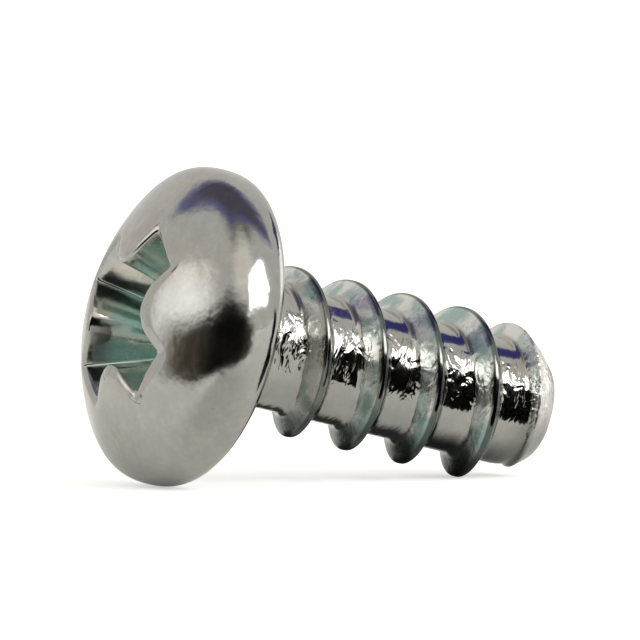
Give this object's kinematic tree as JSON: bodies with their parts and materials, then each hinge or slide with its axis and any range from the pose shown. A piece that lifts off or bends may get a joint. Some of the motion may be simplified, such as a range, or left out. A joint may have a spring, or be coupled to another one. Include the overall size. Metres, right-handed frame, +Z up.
{
  "type": "sheet metal screw",
  "caption": "Short pan-head sheet metal screw of zinc-plated steel, with a cross recess, a coarse right-hand thread and a blunt end, lying at rest.",
  "frame": {"origin": "on the surface that the screw lies on, under the middle of its bounding box", "axes": "+Z up from that surface; the screw's axis lies in the XZ plane, with the head towards -X and the end towards +X and leaning down to the surface"},
  "size_m": [0.0102, 0.0066, 0.0066],
  "materials": {
    "bright_zinc": "bright zinc plating on cold-headed and rolled steel, satin on the head and uneven in the thread roots"
  },
  "bodies": {
    "root": {"screw": "bright_zinc"}
  },
  "joints": []
}
